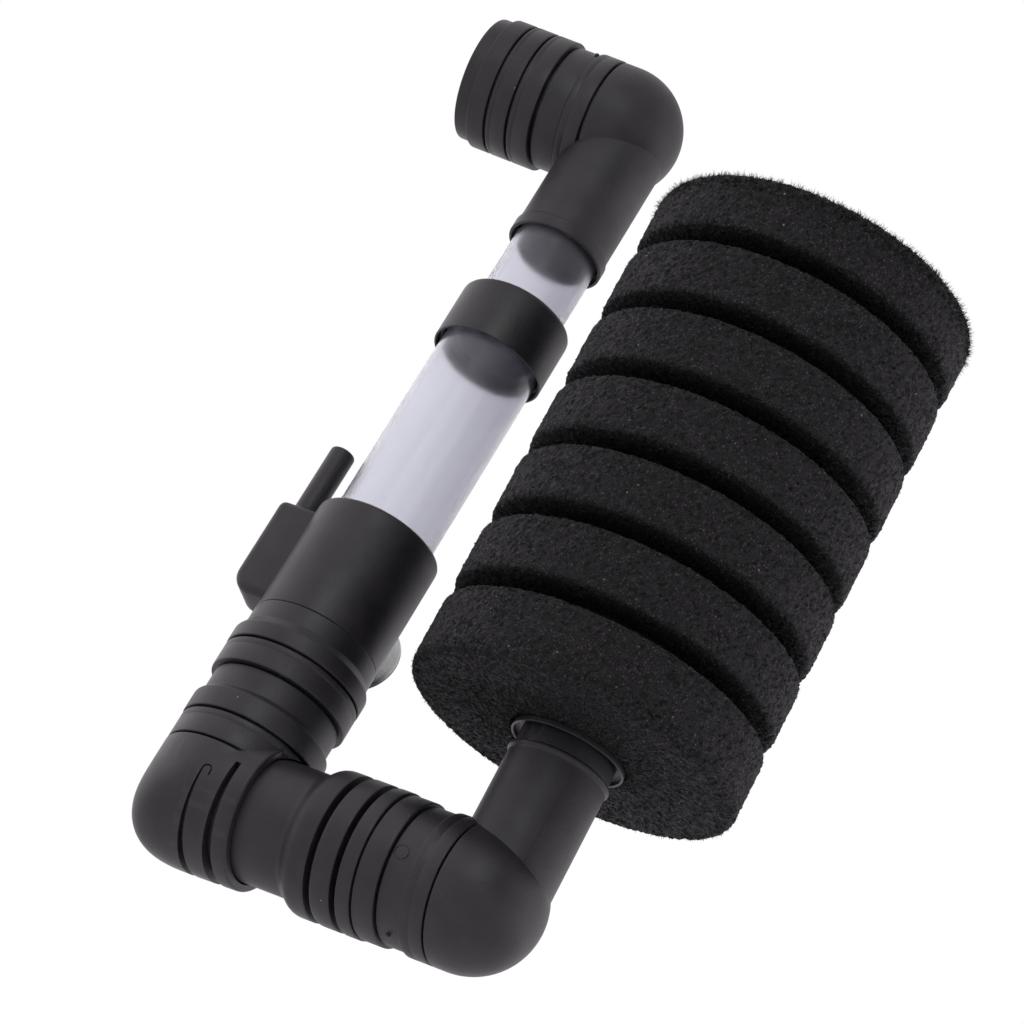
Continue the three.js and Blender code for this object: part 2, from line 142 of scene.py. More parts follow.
OUTLET_RADIUS = 13.4
OUTLET_HEIGHT = height_of("outlet_elbow")[1] - OUTLET_RADIUS
OUTLET_DOME = {"radius": 13.05, "centre": -2.5}
OUTLET_LEG = {"radius": 9.55, "lip": 9.95, "lip_height": 2.6}
OUTLET_BORE = 10.3
CORNER = {"radius": 13.75, "fullness": 3.05}  # fullness 2 would be a ball, and more is squarer
ELBOW_TOP = BARREL_FOOT - 0.08
LINK_RADIUS = 13.76
LINK_BORE = 9.4
SPONGE_AXIS = 56.5
SPONGE_DOME = {"radius": 13.4, "centre": 53.7}
LEG = {"radius": 9.57, "top": 28.1, "lip": 9.95}
CORE_RADIUS = 8.1
CORE_BORE = 6.9
FLANGE = {"radius": 11.05, "bottom": 31.2, "top": 32.8, "skirt": 0.5}
FOAM = {"radius": 31.8, "bottom": 32.7, "top": 137.1, "bore": 8.6}
DISC = {"count": 7, "first_end": 45.8, "pitch": 15.07, "groove": 3.9, "floor": 22}
TOP_ROUNDING = 3
FOAM_SHIFT = -0.15  # the soft foam sits a little off the middle of its core

# ---------- light ----------
SURROUND = 1.05  # strength of the surround behind and beside the object
FRONT = 0.3  # and its strength on the camera's side
SLANT = 0.45  # how much brighter the surround is towards the left
LOWER_RIGHT = 0.75  # light of the white table past the sponge's foot
KEY_POWER = 1.3


# ---------- mesh building ----------
def softened(outline, closed):
    """Rounds each corner of the outline that has a third number, its rounding in millimetres."""
    steps = 4
    points = []
    for i, (x, y, *rounding) in enumerate(outline):
        here = Vector((x, y))
        if not rounding or (not closed and i in (0, len(outline) - 1)):
            points.append(here)
            continue
        before = Vector(outline[i - 1][:2]) - here
        after = Vector(outline[(i + 1) % len(outline)][:2]) - here
        reach = min(rounding[0], 0.48 * before.length, 0.48 * after.length)
        start = here + before.normalized() * reach
        end = here + after.normalized() * reach
        for k in range(steps + 1):
            t = k / steps
            points.append((1 - t) ** 2 * start + 2 * t * (1 - t) * here + t * t * end)
    return points


def mesh_object(name, bm):
    bmesh.ops.remove_doubles(bm, verts=bm.verts, dist=1e-5)
    bmesh.ops.recalc_face_normals(bm, faces=bm.faces)
    mesh = bpy.data.meshes.new(name)
    bm.to_mesh(mesh)
    bm.free()
    piece = bpy.data.objects.new(name, mesh)
    bpy.context.scene.collection.objects.link(piece)
    return piece


def turned(name, outline, segments=SEGMENTS, along_x=False):
    """A solid of revolution about +Z, or about +X, from [radius, distance, rounding] points."""
    closed = outline[0][0] > 0
    points = softened(outline, closed)
    bm = bmesh.new()
    rings = []
    for radius, distance in points:
        if radius < 1e-6:
            rings.append([bm.verts.new((0, 0, distance))] * segments)
            continue
        angles = [2 * math.pi * i / segments for i in range(segments)]
        rings.append([bm.verts.new((radius * math.cos(a), radius * math.sin(a), distance)) for a in angles])
    pairs = list(zip(rings, rings[1:])) + ([(rings[-1], rings[0])] if closed else [])
    for lower, upper in pairs:
        for i in range(segments):
            j = (i + 1) % segments
            corners = [lower[i], lower[j], upper[j], upper[i]]
            corners = [v for k, v in enumerate(corners) if v not in corners[:k]]
            if len(corners) > 2:
                bm.faces.new(corners)
    if along_x:
        bmesh.ops.rotate(bm, verts=bm.verts, matrix=Matrix.Rotation(math.pi / 2, 3, "Y"))
    return mesh_object(name, bm)


def combined(base, operation, *tools):
    """Joins or cuts the base with the tools, which are then removed."""
    for tool in tools:
        change = base.modifiers.new("change", "BOOLEAN")
        change.operation = operation
        change.solver = "MANIFOLD"
        change.object = tool
        depsgraph = bpy.context.evaluated_depsgraph_get()
        mesh = bpy.data.meshes.new_from_object(base.evaluated_get(depsgraph))
        base.modifiers.clear()
        base.data = mesh
        bpy.data.objects.remove(tool)
    return base


def moved(piece, x=0, y=0, z=0):
    piece.data.transform(Matrix.Translation((x, y, z)))
    return piece


def banded(bands, lines=()):
    """Outline of a ribbed pipe from [from, to, radius] bands. Bands that nearly touch have a groove
    between them, and bands further apart a conical shoulder. Lines are faint mould lines."""
    narrowest_groove, widest_groove = 0.05, 0.8
    line_width, line_depth = 0.16, 0.07
    points = []
    for i, (start, end, radius) in enumerate(bands):
        points.append((radius, start, BAND_EDGE))
        for place in sorted(lines):
            if start + BAND_EDGE < place < end - BAND_EDGE:
                points.append((radius, place - line_width))
                points.append((radius - line_depth, place))
                points.append((radius, place + line_width))
        points.append((radius, end, BAND_EDGE))
        if i + 1 < len(bands) and narrowest_groove < bands[i + 1][0] - end < widest_groove:
            bottom = min(radius, bands[i + 1][2]) - GROOVE_DEPTH
            points += [(bottom, end, 0.12), (bottom, bands[i + 1][0], 0.12)]
    return points


def dome(radius, centre, way):
    """Round end of a pipe, from its side to the axis: way is 1 forwards and -1 backwards."""
    steps = 24
    angles = [math.pi / 2 * i / steps for i in range(steps + 1)]
    points = [(radius * math.cos(a), centre + way * radius * math.sin(a)) for a in angles]
    points[-1] = (0, centre + way * radius)
    return points


def full_corner(name, radius, fullness):
    """The outer quarter of an elbow's corner, between a pipe up +Z and a pipe along +X: like a ball,
    but fuller where the two pipes would meet. It reaches a little way into both pipes."""
    steps, around = 40, 80
    ends = ((Vector((0, 0, 1.5)), 0), (Vector((1.5, 0, 0)), steps))
    bm = bmesh.new()

    def across(step, scale, shift):
        turn = math.pi * (1 + 0.5 * step / steps)
        reach = (abs(math.cos(turn)) ** fullness + abs(math.sin(turn)) ** fullness) ** (-1 / fullness)
        for k in range(around + 1):
            angle = math.pi * (k / around - 0.5)
            flat = radius * math.cos(angle) * reach
            point = Vector((flat * math.cos(turn), radius * math.sin(angle), flat * math.sin(turn)))
            bm.verts.new(scale * point + shift)

    for step in range(steps + 1):
        across(step, 1, Vector())
    for shift, step in ends:
        across(step, 0.9, shift)
    bmesh.ops.remove_doubles(bm, verts=bm.verts, dist=1e-4)
    hull = bmesh.ops.convex_hull(bm, input=bm.verts)
    unused = set(hull["geom_interior"]) | set(hull["geom_unused"])
    bmesh.ops.delete(bm, geom=[v for v in unused if isinstance(v, bmesh.types.BMVert)], context="VERTS")
    return mesh_object(name, bm)


def groove_cutter(name, route, width, depth):
    """A bar that follows a route of [x, angle, radius] points on a pipe along X, to cut a groove with
    one steep wall and one sloping wall. Each point has its own width and depth."""
    bm = bmesh.new()
    centres = []
    for x, angle, radius in route:
        outward = Vector((0, -math.cos(angle), math.sin(angle)))
        centres.append((Vector((x, 0, 0)) + outward * radius, outward))
    sections = []
    for i, (centre, outward) in enumerate(centres):
        ahead = centres[min(i + 1, len(centres) - 1)][0]
        behind = centres[max(i - 1, 0)][0]
        side = outward.cross(ahead - behind).normalized()
        half = width[i] / 2
        corners = [(-half, 1), (half, 1), (half * 0.85, -depth[i]), (-half * 0.1, -depth[i])]
        sections.append([bm.verts.new(centre + side * s + outward * h) for s, h in corners])
    for here, there in zip(sections, sections[1:]):
        for k in range(4):
            bm.faces.new([here[k], here[(k + 1) % 4], there[(k + 1) % 4], there[k]])
    bm.faces.new(sections[0])
    bm.faces.new(sections[-1])
    return mesh_object(name, bm)


def rounded_block(name, low, high, corner, edge):
    """A box whose lower outer corner is widely rounded in the XZ plane and whose edges are soft."""
    steps = 10
    outline = [(high.x, high.z), (high.x, low.z)]
    turn = Vector((low.x + corner, low.z + corner))
    for i in range(steps + 1):
        angle = math.pi * (1.5 - 0.5 * i / steps)
        outline.append((turn.x + corner * math.cos(angle), turn.y + corner * math.sin(angle)))
    outline.append((low.x, high.z))
    bm = bmesh.new()
    front = bm.faces.new([bm.verts.new((x, low.y, z)) for x, z in outline])
    grown = bmesh.ops.extrude_face_region(bm, geom=[front])
    fresh = [v for v in grown["geom"] if isinstance(v, bmesh.types.BMVert)]
    bmesh.ops.translate(bm, verts=fresh, vec=(0, high.y - low.y, 0))
    bmesh.ops.recalc_face_normals(bm, faces=bm.faces)
    soft = [e for e in bm.edges if e.calc_face_angle() > 0.5]
    bmesh.ops.bevel(bm, geom=soft, offset=edge, segments=5, profile=0.5, affect="EDGES")
    return mesh_object(name, bm)


def finished(piece, matrix, body, slot, material, *nodes):
    """Places a piece in the frame, in metres, with its finish, and lets it stand for its CAD nodes."""
    piece.data.transform(matrix)
    bm = bmesh.new()
    bm.from_mesh(piece.data)
    if bm.calc_volume(signed=True) < 0:
        bmesh.ops.reverse_faces(bm, faces=bm.faces)
    for edge in bm.edges:
        edge.smooth = not (edge.is_manifold and edge.calc_face_angle() > SMOOTH_ANGLE)
    for face in bm.faces:
        face.smooth = True
    bm.to_mesh(piece.data)
    bm.free()
    piece.data.materials.clear()
    piece.data.materials.append(material)
    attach(piece, body)
    if nodes:
        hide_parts(*nodes)
    return piece


# ---------- materials ----------
def new_material(name):
    material = bpy.data.materials.new(name)
    material.use_nodes = True
    nodes, links = material.node_tree.nodes, material.node_tree.links
    shader = nodes["Principled BSDF"]
    place = nodes.new("ShaderNodeTexCoord").outputs["Object"]
    return material, nodes, links, shader, place


def noise(nodes, links, place, scale, detail=3, stretch=None):
    texture = nodes.new("ShaderNodeTexNoise")
    texture.inputs["Scale"].default_value = scale
    texture.inputs["Detail"].default_value = detail
    if stretch:
        mapping = nodes.new("ShaderNodeMapping")
        mapping.inputs["Scale"].default_value = stretch
        links.new(place, mapping.inputs["Vector"])
        place = mapping.outputs["Vector"]
    links.new(place, texture.inputs["Vector"])
    return texture.outputs["Fac"]


def ranged(nodes, links, value, low, high, to_low, to_high):
    remap = nodes.new("ShaderNodeMapRange")
    remap.inputs["From Min"].default_value = low
    remap.inputs["From Max"].default_value = high
    remap.inputs["To Min"].default_value = to_low
    remap.inputs["To Max"].default_value = to_high
    links.new(value, remap.inputs["Value"])
    return remap.outputs["Result"]


def blended(nodes, links, factor, first, second):
    mix = nodes.new("ShaderNodeMix")
    mix.data_type = "RGBA"
    links.new(factor, mix.inputs["Factor"])
    for socket, value in ((mix.inputs["A"], first), (mix.inputs["B"], second)):
        if isinstance(value, tuple):
            socket.default_value = (*value, 1)
        else:
            links.new(value, socket)
    return mix.outputs["Result"]


def added(nodes, links, first, second, operation="ADD"):
    sum_node = nodes.new("ShaderNodeMath")
    sum_node.operation = operation
    for socket, value in zip(sum_node.inputs, (first, second)):
        if isinstance(value, (int, float)):
            socket.default_value = value
        else:
            links.new(value, socket)
    return sum_node.outputs["Value"]


def bumped(nodes, links, shader, height, distance, strength=1.0):
    bump = nodes.new("ShaderNodeBump")
    bump.inputs["Strength"].default_value = strength
    bump.inputs["Distance"].default_value = distance
    links.new(height, bump.inputs["Height"])
    links.new(bump.outputs["Normal"], shader.inputs["Normal"])


def specks(nodes, links, place, scale, size, share):
    """1 on a few small round specks and 0 elsewhere: share is the part of the cells that hold one."""
    cells = nodes.new("ShaderNodeTexVoronoi")
    cells.inputs["Scale"].default_value = scale
    links.new(place, cells.inputs["Vector"])
    near = ranged(nodes, links, cells.outputs["Distance"], size * 0.6, size, 1, 0)
    split = nodes.new("ShaderNodeSeparateColor")
    links.new(cells.outputs["Color"], split.inputs["Color"])
    chosen = ranged(nodes, links, split.outputs["Red"], share, share + 0.001, 1, 0)
    return added(nodes, links, near, chosen, "MULTIPLY")


def black_plastic(name, colour, roughness):
    """Satin black moulded plastic: mottled, fine-grained, paler on its edges from wear and a painted edge
    highlight, dusty.
    """
    material, nodes, links, shader, place = new_material(name)
    mottle = noise(nodes, links, place, 210, 5)
    darker = tuple(0.7 * c for c in colour)
    lighter = tuple(1.35 * c for c in colour)
    shade = blended(nodes, links, ranged(nodes, links, mottle, 0.3, 0.7, 0, 1), darker, lighter)
    # Convex edges are painted paler: partly wear, partly a painted highlight where the edges catch the
    # light.
    edge = nodes.new("ShaderNodeNewGeometry").outputs["Pointiness"]
    wear_and_painted_highlight = ranged(nodes, links, edge, 0.52, 0.58, 0, 0.35)
    shade = blended(nodes, links, wear_and_painted_highlight, shade, tuple(3.2 * c for c in colour))
    drawn = noise(nodes, links, place, 110, 2, stretch=(7, 7, 1))
    hairline = ranged(nodes, links, drawn, 0.66, 0.68, 0, 0.5)
    handled = ranged(nodes, links, noise(nodes, links, place, 75, 1), 0.6, 0.66, 0, 1)
    scratch = added(nodes, links, hairline, handled, "MULTIPLY")
    shade = blended(nodes, links, scratch, shade, tuple(2 * c for c in colour))
    dust = specks(nodes, links, place, 260, 0.05, 0.05)
    shade = blended(nodes, links, dust, shade, (0.32, 0.32, 0.31))
    links.new(shade, shader.inputs["Base Color"])
    smudge = noise(nodes, links, place, 60, 3)
    satin = ranged(nodes, links, smudge, 0.35, 0.65, roughness - 0.06, roughness + 0.07)
    satin = added(nodes, links, satin, added(nodes, links, dust, 0.3, "MULTIPLY"))
    links.new(satin, shader.inputs["Roughness"])
    grain = noise(nodes, links, place, 2900, 2)
    height = added(nodes, links, grain, added(nodes, links, dust, 1.5, "MULTIPLY"))
    bumped(nodes, links, shader, height, 0.00005)
    shader.inputs["Specular IOR Level"].default_value = 0.5
    return material


def clear_plastic(name):
    """Clear extruded tube with a lavender tint and fine draw lines; the tint deepens on the +X side and
    towards the top as a painted reflection of the dark sponge and collar.
    """
    material, nodes, links, shader, place = new_material(name)
    streaks = noise(nodes, links, place, 420, 3, stretch=(1, 1, 0.02))
    split = nodes.new("ShaderNodeSeparateXYZ")
    links.new(place, split.inputs["Vector"])
    # Painted reflection of the dark sponge and collar: a deeper tint on the +X side and higher up.
    side = ranged(nodes, links, split.outputs["X"], -0.003, 0.007, 0, 1)
    upward = ranged(nodes, links, split.outputs["Z"], 0.02, 0.055, 0.75, 1)
    painted_sponge_reflection = added(nodes, links, side, upward, "MULTIPLY")
    tint = blended(nodes, links, painted_sponge_reflection, (0.87, 0.868, 0.93), (0.62, 0.61, 0.67))
    shine = ranged(nodes, links, streaks, 0.35, 0.75, 0, 0.2)
    tint = blended(nodes, links, shine, tint, (0.95, 0.95, 0.98))
    scuffs = specks(nodes, links, place, 420, 0.07, 0.012)
    tint = blended(nodes, links, scuffs, tint, (0.92, 0.92, 0.96))
    links.new(tint, shader.inputs["Base Color"])
    haze = ranged(nodes, links, noise(nodes, links, place, 130, 3), 0.35, 0.65, 0.19, 0.24)
    haze = added(nodes, links, haze, added(nodes, links, scuffs, 0.08, "MULTIPLY"))
    links.new(haze, shader.inputs["Roughness"])
    shader.inputs["Transmission Weight"].default_value = 0.93
    shader.inputs["IOR"].default_value = 1.25
    return material


def soft_vinyl(name):
    """Soft clear vinyl, smoky and a little wavy, with painted shade: darker towards the bottom, and darkest
    in the foot of its rim.
    """
    material, nodes, links, shader, place = new_material(name)
    clouds = noise(nodes, links, place, 150, 3)
    split = nodes.new("ShaderNodeSeparateXYZ")
    links.new(place, split.inputs["Vector"])
    cloudy = ranged(nodes, links, clouds, 0.3, 0.7, -0.15, 0.15)
    # Painted shade: the tint darkens towards the bottom, where less light falls.
    lower = added(nodes, links, ranged(nodes, links, split.outputs["Z"], 0.004, -0.008, 0, 1), cloudy)
    tint = blended(nodes, links, lower, (0.62, 0.62, 0.63), (0.2, 0.2, 0.205))
    # Painted shade on the foot of the rim by the glass.
    rim = ranged(nodes, links, split.outputs["Y"], -0.0016, -0.0012, 0, 1)
    foot = ranged(nodes, links, split.outputs["Z"], -0.0015, -0.0045, 0, 1)
    tint = blended(nodes, links, added(nodes, links, rim, foot, "MULTIPLY"), tint, (0.02, 0.02, 0.02))
    links.new(tint, shader.inputs["Base Color"])
    links.new(ranged(nodes, links, clouds, 0.3, 0.7, 0.12, 0.25), shader.inputs["Roughness"])
    bumped(nodes, links, shader, noise(nodes, links, place, 240, 2), 0.0001)
    shader.inputs["Transmission Weight"].default_value = 0.75
    shader.inputs["IOR"].default_value = 1.4
    return material


def rubber(name):
    """Matt black seal rubber with a fine grain."""
    material, nodes, links, shader, place = new_material(name)
    grain = noise(nodes, links, place, 1800, 3)
    shade = blended(nodes, links, grain, (0.012, 0.012, 0.012), (0.03, 0.03, 0.03))
    links.new(shade, shader.inputs["Base Color"])
    links.new(ranged(nodes, links, grain, 0.3, 0.7, 0.6, 0.8), shader.inputs["Roughness"])
    bumped(nodes, links, shader, grain, 0.00004)
    return material


def open_cell_foam(name):
    """Black reticulated foam: painted shade in the pores between paler struts, and painted highlights on
    the strut tips with a few painted glints.
    """
    material, nodes, links, shader, place = new_material(name)
    cells = nodes.new("ShaderNodeTexVoronoi")
    cells.feature = "DISTANCE_TO_EDGE"
    cells.inputs["Scale"].default_value = 2300
    links.new(place, cells.inputs["Vector"])
    strut = ranged(nodes, links, cells.outputs["Distance"], 0.02, 0.22, 1, 0)
    patchy = ranged(nodes, links, noise(nodes, links, place, 1700, 2), 0.3, 0.7, 0.2, 1)
    # Painted shade in the pores: dark between paler struts.
    web = added(nodes, links, strut, patchy, "MULTIPLY")
    shade = blended(nodes, links, web, (0.0042, 0.0039, 0.0042), (0.036, 0.0335, 0.035))
    # Painted highlights on the strut tips, and a few painted glints.
    tips = specks(nodes, links, place, 2100, 0.42, 0.28)
    painted_tip_highlight = added(nodes, links, tips, patchy, "MULTIPLY")
    shade = blended(nodes, links, painted_tip_highlight, shade, (0.125, 0.118, 0.123))
    glints = specks(nodes, links, place, 800, 0.2, 0.03)
    shade = blended(nodes, links, glints, shade, (0.2, 0.2, 0.2))
    links.new(shade, shader.inputs["Base Color"])
    links.new(ranged(nodes, links, patchy, 0.3, 1, 0.75, 0.5), shader.inputs["Roughness"])
    bumped(nodes, links, shader, added(nodes, links, web, tips), 0.00022)
    shader.inputs["Specular IOR Level"].default_value = 0.25
    return material


PLASTIC = black_plastic("satin_black_plastic", (0.0135, 0.0122, 0.0137), 0.46)
GLOSSIER = black_plastic("smooth_black_plastic", (0.0115, 0.0106, 0.0118), 0.42)
CLEAR = clear_plastic("clear_lavender_plastic")
VINYL = soft_vinyl("soft_clear_vinyl")
RUBBER = rubber("matt_black_rubber")
FOAM_BLACK = open_cell_foam("open_cell_foam")


# ---------- lift barrel, air box and suction cup ----------
def lift_barrel():
    socket = TUBE_RADIUS + PLAY
    foot = BARREL_FOOT
    shell = turned("barrel_body", [
        (BARREL_BORE, SPIGOT_END),
        (BARREL_SPIGOT, SPIGOT_END, 0.4),
        (BARREL_SPIGOT, foot),
        (BARREL_RADIUS, foot, 0.25),
        (BARREL_RADIUS, BARREL_TOP, 0.9),
        (socket, BARREL_TOP, 0.3),
        (socket, TUBE_SEAT),
        (BARREL_BORE, TUBE_SEAT),
    ])
    low = Vector((AIR_BOX["outer"], -AIR_BOX["half_width"], AIR_BOX["bottom"]))
    high = Vector((AIR_BOX["inner"], AIR_BOX["half_width"], AIR_BOX["top"]))
    block = rounded_block("air_box", low, high, AIR_BOX["corner"], 1.5)
    inside = 11.2  # within the barrel's wall, so that the block leaves the socket free
    keep_clear = turned("keep_clear", [(0, 30), (inside, 30), (inside, 70), (0, 70)])
    block = combined(block, "DIFFERENCE", keep_clear)
    hole, floor_height = 2.3, 54
    hole_outline = [(0, floor_height), (hole, floor_height), (hole, 70), (0, 70)]
    pocket = moved(turned("pocket", hole_outline, 48), x=NOZZLE_X)
    boss = turned("boss", [
        (0, inside), (4.6, inside), (4.6, 14.2, 0.4), (3.2, 14.2), (3.2, 13.4), (0, 13.4),
    ], 64)
    boss.data.transform(Matrix.Translation((0, 0, CUP_HEIGHT)) @ Matrix.Rotation(-math.pi / 2, 4, "X"))
    shell = combined(shell, "UNION", block, boss)
    shell = combined(shell, "DIFFERENCE", pocket)
    return finished(shell, PIPES, "lift", "black_plastic", PLASTIC, "lift_barrel")


def air_nozzle():
    bore, stem, shoulder = 1.1, 1.95, 59.9
    spout = turned("air_spout", [
        (bore, NOZZLE_BOTTOM),
        (stem, NOZZLE_BOTTOM),
        (stem, shoulder),
        (NOZZLE_RADIUS + 0.35, shoulder),
        (NOZZLE_RADIUS + 0.35, 60.6, 0.25),
        (NOZZLE_RADIUS, 61.1, 0.3),
        (NOZZLE_RADIUS, NOZZLE_TOP, 1.5),
        (bore, NOZZLE_TOP, 0.35),
    ], 64)
    return finished(moved(spout, x=NOZZLE_X), PIPES, "lift", "black_plastic", PLASTIC, "air_nozzle")


def suction_cup():
    wall = 1.0
    cup = turned("suction_cup_bell", [
        (0, 11.9),
        (2.4, 11.9, 0.4),
        (2.8, 12.6, 0.2),
        (1.4, 12.8, 0.2),
        (1.4, 14.4, 0.2),
        (3.2, 14.5, 0.6),
        (6.2, 15.2, 1.2),
        (CUP_RADIUS - 0.25, 16.1, 0.2),
        (CUP_RADIUS, 16.4, 0.15),
        (CUP_RADIUS, GLASS_Y, 0.2),
        (CUP_RADIUS - 0.9, GLASS_Y, 0.15),
        (6, 15.3 + wall, 1.5),
        (2.6, 14.5 + wall, 1),
        (0, 14.5 + wall),
    ], 96)
    upright = Matrix.Translation((0, 0, CUP_HEIGHT)) @ Matrix.Rotation(-math.pi / 2, 4, "X")
    return finished(cup, PIPES @ upright, "lift", "soft_clear", VINYL, "suction_cup")


# ---------- telescopic lift tube ----------
def sleeve(name, bore, radius, bottom, top, rounding=0.25):
    return turned(name, [
        (bore, bottom, rounding),
        (radius, bottom, rounding),
        (radius, top, rounding),
        (bore, top, rounding),
    ])


def lift_tubes():
    outer = sleeve("outer_clear_tube", TUBE_BORE, TUBE_RADIUS, TUBE_BOTTOM, TUBE_TOP)
    finished(outer, PIPES, "lift", "clear_plastic", CLEAR, "outer_lift_tube")
    inner = sleeve("inner_clear_tube", SLIDER_BORE, SLIDER_RADIUS, SLIDER_BOTTOM, SLIDER_TOP)
    finished(inner, PIPES, "inner_tube", "clear_plastic", CLEAR, "inner_lift_tube")


def slide_collar():
    throat = SLIDER_RADIUS + PLAY
    socket = TUBE_RADIUS + PLAY
    collar = turned("telescope_collar", [
        (COLLAR_RADIUS - 0.45, COLLAR_BOTTOM, 0.15),
        (COLLAR_RADIUS, COLLAR_BOTTOM, 0.2),
        (COLLAR_RADIUS, COLLAR_TOP, 1.2),
        (throat, COLLAR_TOP, 0.25),
        (throat, COLLAR_TOP - 1),
        (socket, COLLAR_TOP - 1),
        (socket, COLLAR_BOTTOM + 1.6, 0.2),
        (COLLAR_RADIUS - 0.45, COLLAR_BOTTOM + 1.6),
    ])
    return finished(collar, PIPES, "lift", "black_plastic", GLOSSIER, "slide_collar")


# ---------- elbows ----------
def outlet_elbow():
    radius, centre = OUTLET_DOME["radius"], OUTLET_DOME["centre"]
    leg_radius, lip = OUTLET_LEG["radius"], OUTLET_LEG["lip"]
    bottom = height_of("outlet_elbow")[0] - OUTLET_HEIGHT
    mouth = -32.4
    bands = [
        (mouth, -29.5, 12.6),
        (-29.45, -25.65, OUTLET_RADIUS),
        (-25.15, -20.95, OUTLET_RADIUS),
        (-20.45, -15.9, OUTLET_RADIUS),
        (-15.4, -10.4, 12.6),
        (-10.35, -6, 13.15),
        (-5.5, centre - 0.1, radius),
    ]
    pipe = turned("outlet_pipe", [
        (0, mouth), *banded(bands, (-24.2, -19.4, -8.9)), *dome(radius, centre, 1),
    ], along_x=True)
    leg = turned("outlet_leg", [
        (0, bottom),
        (lip, bottom, 0.2),
        (lip, bottom + OUTLET_LEG["lip_height"], 0.3),
        (leg_radius, bottom + OUTLET_LEG["lip_height"] + 0.2, 0.2),
        (leg_radius, 0),
        (0, 0),
    ])
    pipe_bore = turned("pipe_bore", [
        (0, -34), (OUTLET_BORE, -34), *dome(OUTLET_BORE, centre, 1),
    ], along_x=True)
    slider_top = SLIDER_TOP - OUTLET_HEIGHT + PLAY
    mouth_play, mouth_depth = 0.75, 1.6
    leg_bore = turned("leg_bore", [
        (0, bottom - 1),
        (SLIDER_RADIUS + mouth_play, bottom - 1),
        (SLIDER_RADIUS + mouth_play, bottom + mouth_depth),
        (SLIDER_RADIUS + PLAY, bottom + mouth_depth),
        (SLIDER_RADIUS + PLAY, slider_top),
        (SLIDER_BORE, slider_top),
        (SLIDER_BORE, 0),
        (0, 0),
    ])
    pip = moved(facing(pip_of(12.6), 41), x=-10.9)
    elbow = combined(pipe, "UNION", leg, pip)
    elbow = combined(elbow, "DIFFERENCE", pipe_bore, leg_bore)
    turn = Matrix.Translation((0, 0, OUTLET_HEIGHT)) @ Matrix.Rotation(OUTLET_TURN, 4, "Z")
    return finished(elbow, PIPES @ turn, "outlet", "black_plastic", PLASTIC, "outlet_elbow")


def pip_of(radius):
    """The cut-off stub of a mould gate, pointing up from a pipe of the given radius."""
    foot, end = radius - 0.8, radius + 0.6
    return turned("gate_pip", [(0, foot), (0.45, foot), (0.4, end, 0.2), (0, end)], 16)


def facing(piece, angle):
    """Turns a piece that points up about the X axis, to an angle counted from -Y towards +Z."""
    piece.data.transform(Matrix.Rotation(math.radians(90 - angle), 4, "X"))
    return piece


def hooked_grooves():
    """The two grooves of the link collar that stop short at the front: one bends back like a cane,
    the other starts with a blunt end. Both widen towards the underside."""
    steps = 60
    radius = CORNER["radius"] - 0.1
    first_x, bend = 1.5, 0.8
    cane = [(first_x, math.radians(-170 + 168 * i / steps), radius) for i in range(steps + 1)]
    for i in range(1, 13):
        angle = math.pi * i / 12
        along = bend * math.sin(angle) / radius
        cane.append((first_x + bend * (1 - math.cos(angle)), math.radians(-2) + along, radius))
    cane.append((first_x + 2 * bend, math.radians(-6), radius))
    cane_width = [2.4 - 1.9 * min(1, i / steps) ** 1.6 for i in range(len(cane))]
    cane_depth = [1.5 - 1.1 * min(1, i / steps) ** 2 for i in range(len(cane))]
    blunt = [(7, math.radians(-170 + 183 * i / steps), radius) for i in range(steps + 1)]
    blunt_width = [2.9 - 1.5 * (i / steps) ** 1.6 for i in range(len(blunt))]
    return (
        groove_cutter("cane_groove", cane, cane_width, cane_depth),
        groove_cutter("blunt_groove", blunt, blunt_width, [1.7] * len(blunt)),
    )


def lower_elbow():
    radius = CORNER["radius"]
    bands = [
        (0, 5.45, radius),
        (5.85, 11.25, 13.7),
        (11.7, 15.9, 13.85),
        (17, 21.75, 12.8),
        (22.1, 27.2, 13.75),
        (27.65, 30.8, 13.85),
        (32.6, ELBOW_TOP, 12.75),
    ]
    socket = BARREL_SPIGOT + PLAY
    column = turned("elbow_pipe", [
        (0, 0), (radius, 0), *banded(bands, (9.9, 25.95))[1:], (0, ELBOW_TOP),
    ])
    collar_end = 10.8
    collar = turned("link_collar", [
        (0, 0), (radius, 0), (radius - 0.1, 4.8), (13.5, collar_end, 0.7), (0, collar_end),
    ], along_x=True)
    corner = full_corner("elbow_corner", radius, CORNER["fullness"])
    bore, seat = 8.4, 22.2
    column_bore = turned("column_bore", [
        *dome(bore, 0, -1)[::-1], (bore, seat), (socket, seat), (socket, 40), (0, 40),
    ])
    link_socket, link_seat = 12.05, 1.6
    link_bore = turned("link_bore", [
        *dome(LINK_BORE, 0, -1)[::-1],
        (LINK_BORE, link_seat),
        (link_socket, link_seat),
        (link_socket, 20),
        (0, 20),
    ], along_x=True)
    elbow = combined(column, "UNION", collar, corner)
    elbow = combined(elbow, "DIFFERENCE", column_bore, link_bore, *hooked_grooves())
    return finished(elbow, PIPES, "lower_arm", "black_plastic", PLASTIC, "lower_elbow")


def link_tube():
    start, end, spigot = 2, 27, 11.7
    socket, seat = 11.3, 16.7
    tube = turned("link_pipe", [
        (LINK_BORE, start),
        (spigot, start),
        (spigot, 20.6, 0.8),
        (LINK_RADIUS, 23, 1.2),
        (LINK_RADIUS, end, BAND_EDGE),
        (socket, end),
        (socket, seat),
        (LINK_BORE, seat),
    ], along_x=True)
    return finished(tube, PIPES, "lower_arm", "black_plastic", PLASTIC, "link_tube")


